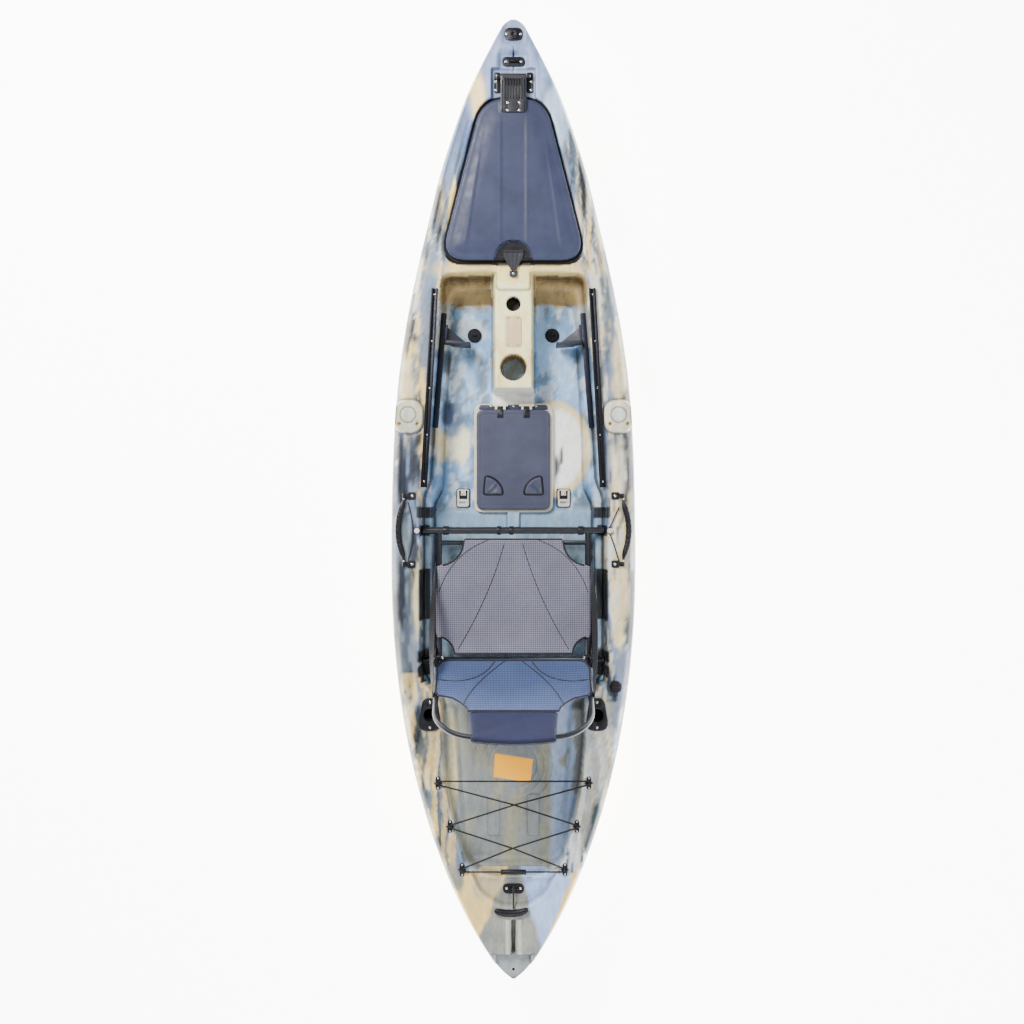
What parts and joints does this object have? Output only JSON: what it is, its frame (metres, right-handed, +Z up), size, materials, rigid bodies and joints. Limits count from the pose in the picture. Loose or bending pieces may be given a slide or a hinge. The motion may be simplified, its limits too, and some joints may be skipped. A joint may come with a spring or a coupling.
{
  "type": "sit-on-top fishing kayak",
  "caption": "Sit-on-top fishing kayak with moulded hull, hinged bow and centre hatches, accessory rails, sliding foot pedals, lift-out framed seat and stern tank well.",
  "frame": {"origin": "under the middle of the keel: centre of the bounding box's bottom face", "axes": "+X starboard, +Y towards the bow, +Z up"},
  "size_m": [0.8604, 3.3, 0.6496],
  "materials": {
    "hull_plastic": "satin camouflage swirl of tan, grey-blue and dark grey",
    "slate_plastic": "textured",
    "black_plastic": "satin",
    "rubber": "matte",
    "stainless": "brushed",
    "brass": "machined",
    "anodised": "black anodised",
    "track_metal": "satin anodised",
    "seat_tube": "dark anodised",
    "mesh_fabric": "woven mesh",
    "dark_fabric": "woven",
    "webbing": "woven webbing",
    "cord": "braided",
    "label": "plain sticker"
  },
  "bodies": {
    "hull": {"hull": "hull_plastic", "bow_gasket": "rubber", "bow_hinge_brackets": "black_plastic", "bow_hinge_pin": "stainless", "nose_fitting": "black_plastic", "bow_padeye": "black_plastic", "insert_plate": "hull_plastic", "brass_inserts": "brass", "centre_hatch_frame": "hull_plastic", "centre_hatch_gasket": "rubber", "centre_hinge_pin": "stainless", "accessory_rails": "anodised", "foot_brace_tracks": "track_metal", "rod_holders": "black_plastic", "strap_anchors": "hull_plastic", "pad_inserts": "brass", "handle_anchors": "black_plastic", "handle_pins": "stainless", "paddle_cord_right": "cord", "paddle_cord_left": "cord", "paddle_buttons": "black_plastic", "deck_loops": "black_plastic", "tank_bungee": "cord", "bungee_connector": "black_plastic", "stern_padeye": "black_plastic", "drain_housing": "black_plastic", "latch_tail": "rubber", "hull_label": "label", "deck_screws": "stainless"},
    "bow_lid": {"bow_lid": "slate_plastic", "bow_hinge_leaf": "black_plastic", "bow_lid_screws": "stainless"},
    "latch_strap": {"latch_strap": "rubber"},
    "centre_lid": {"centre_lid": "slate_plastic", "centre_lid_knuckles": "black_plastic"},
    "centre_latch_left": {"centre_latch_left": "slate_plastic"},
    "centre_latch_right": {"centre_latch_right": "slate_plastic"},
    "pedal_left": {"pedal_left": "slate_plastic"},
    "pedal_right": {"pedal_right": "slate_plastic"},
    "scupper_plug_left": {"scupper_plug_left": "rubber"},
    "scupper_plug_right": {"scupper_plug_right": "rubber"},
    "seat_base": {"seat_frame": "seat_tube", "seat_tube_caps": "black_plastic", "seat_brackets": "black_plastic", "seat_pivot_bolts": "stainless", "seat_mesh": "mesh_fabric", "recline_strap_left": "webbing", "recline_strap_right": "webbing"},
    "seat_back": {"back_frame": "seat_tube", "back_fabric": "mesh_fabric", "back_top_panel": "dark_fabric", "strap_buckles": "black_plastic"},
    "handle_left": {"handle_left": "black_plastic"},
    "handle_right": {"handle_right": "black_plastic"},
    "stern_toggle": {"stern_toggle": "black_plastic", "toggle_cord": "cord"},
    "drain_plug": {"drain_plug": "black_plastic"}
  },
  "joints": [
    {"name": "bow_lid_hinge", "type": "hinge", "parent": "hull", "child": "bow_lid", "pos_m": [0, 1.45735, 0.37497], "axis": [-1, 0, 0], "range_deg": [0, 100], "deforming": ["latch_strap"]},
    {"name": "latch_strap_bend", "type": "hinge", "parent": "hull", "child": "latch_strap", "pos_m": [0, 0.80495, 0.3162], "axis": [1, 0, 0], "range_deg": [0, 150]},
    {"name": "centre_lid_hinge", "type": "hinge", "parent": "hull", "child": "centre_lid", "pos_m": [0, 0.334, 0.163], "axis": [-1, 0, 0], "range_deg": [0, 100]},
    {"name": "centre_latch_left_turn", "type": "hinge", "parent": "centre_lid", "child": "centre_latch_left", "pos_m": [-0.096, 0.03, 0.165], "axis": [0, 0, 1], "range_deg": [0, 90]},
    {"name": "centre_latch_right_turn", "type": "hinge", "parent": "centre_lid", "child": "centre_latch_right", "pos_m": [0.096, 0.03, 0.165], "axis": [0, 0, -1], "range_deg": [0, 90]},
    {"name": "pedal_left_slide", "type": "slide", "parent": "hull", "child": "pedal_left", "axis": [-0.0769, -0.997, 0], "range_m": [-0.02, 0.25]},
    {"name": "pedal_right_slide", "type": "slide", "parent": "hull", "child": "pedal_right", "axis": [0.0769, -0.997, 0], "range_m": [-0.02, 0.25]},
    {"name": "scupper_plug_left_pull", "type": "slide", "parent": "hull", "child": "scupper_plug_left", "axis": [0, 0, 1], "range_m": [0, 0.06]},
    {"name": "scupper_plug_right_pull", "type": "slide", "parent": "hull", "child": "scupper_plug_right", "axis": [0, 0, 1], "range_m": [0, 0.06]},
    {"name": "seat_lift", "type": "slide", "parent": "hull", "child": "seat_base", "axis": [0, 0, 1], "range_m": [0, 0.25]},
    {"name": "seat_back_fold", "type": "hinge", "parent": "seat_base", "child": "seat_back", "pos_m": [0, -0.548, 0.232], "axis": [-1, 0, 0], "range_deg": [0, 100], "deforming": ["recline_strap_left", "recline_strap_right"]},
    {"name": "handle_left_swing", "type": "hinge", "parent": "hull", "child": "handle_left", "pos_m": [-0.381, -0.1, 0.306], "axis": [0, 1, 0], "range_deg": [0, 150]},
    {"name": "handle_right_swing", "type": "hinge", "parent": "hull", "child": "handle_right", "pos_m": [0.381, -0.1, 0.306], "axis": [0, -1, 0], "range_deg": [0, 150]},
    {"name": "stern_toggle_swing", "type": "hinge", "parent": "hull", "child": "stern_toggle", "pos_m": [0, -1.345, 0.307], "axis": [-1, 0, 0], "range_deg": [0, 100]},
    {"name": "drain_plug_turn", "type": "hinge", "parent": "hull", "child": "drain_plug", "pos_m": [0.356, -0.644, 0.3], "axis": [0, 0, 1], "range_deg": [0, 720]}
  ]
}
